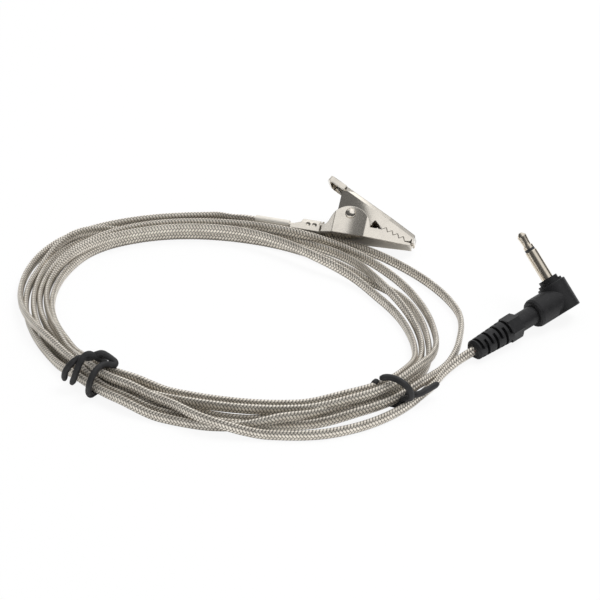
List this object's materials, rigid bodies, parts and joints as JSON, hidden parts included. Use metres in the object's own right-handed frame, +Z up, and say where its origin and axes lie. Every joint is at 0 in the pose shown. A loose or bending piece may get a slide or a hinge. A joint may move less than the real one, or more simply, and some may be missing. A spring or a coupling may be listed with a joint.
{
  "type": "clip-on temperature probe lead",
  "caption": "Toothed spring clip with a flat sensor sleeve, on a coiled metal-braided cord that ends in a moulded right-angle jack plug; rubber-covered wire ties hold the coil.",
  "frame": {"origin": "centre of the box round the clip and its sensor sleeve, on the surface that the part lies on", "axes": "+X along the longest extent of the clip with its sleeve, towards the clip's nose; +Z up from the surface"},
  "size_m": [0.1148, 0.0838, 0.0156],
  "materials": {
    "clip_plating": "bright nickel plate on pressed steel sheet",
    "rivet_plating": "bright nickel plate",
    "spring_steel": "drawn spring wire",
    "sleeve_steel": "satin drawn tube, pressed flat",
    "potting_resin": "cured resin fill",
    "bead_coat": "dipped resin bead",
    "lead_wire": "bare tinned wire",
    "metal_braid": "woven tinned wire over an insulated core",
    "contact_plating": "nickel plate on turned brass",
    "insulator_ring": "moulded ring",
    "insulator_washer": "moulded washer",
    "lug_brass": "stamped sheet",
    "signal_insulation": "thin wall insulation",
    "return_insulation": "thin wall insulation",
    "inner_moulding": "first-shot moulding",
    "plug_moulding": "soft matt overmoulding",
    "tie_rubber": "smooth matt rubber",
    "tie_wire": "annealed wire"
  },
  "bodies": {
    "clip_base": {"lower_jaw": "clip_plating", "jaw_rivet": "rivet_plating", "jaw_spring": "spring_steel", "sensor_sleeve": "sleeve_steel", "sensor_potting": "potting_resin", "thermistor_bead": "bead_coat", "bead_leads": "lead_wire", "lead_clip_end": "metal_braid", "lead_coil": "metal_braid", "lead_plug_end": "metal_braid", "plug_tip": "contact_plating", "plug_tip_insulator": "insulator_ring", "plug_sleeve": "contact_plating", "plug_rear_insulator": "insulator_washer", "tip_solder_lug": "lug_brass", "sleeve_solder_lug": "lug_brass", "signal_wire": "signal_insulation", "return_wire": "return_insulation", "plug_inner_mould": "inner_moulding", "plug_body": "plug_moulding", "cable_boot": "plug_moulding", "tie_left_sheath": "tie_rubber", "tie_left_core": "tie_wire", "tie_right_sheath": "tie_rubber", "tie_right_core": "tie_wire"},
    "clip_lever": {"upper_jaw": "clip_plating"}
  },
  "joints": [
    {"name": "jaw_pivot", "type": "hinge", "parent": "clip_base", "child": "clip_lever", "pos_m": [0.00375, -0.00048, 0.00543], "axis": [-0.127, -0.6308, 0.7655], "range_deg": [0, 35], "stiffness_Nm_per_rad": 0.01, "springref_deg": -34.38, "deforming": ["jaw_spring"]}
  ]
}
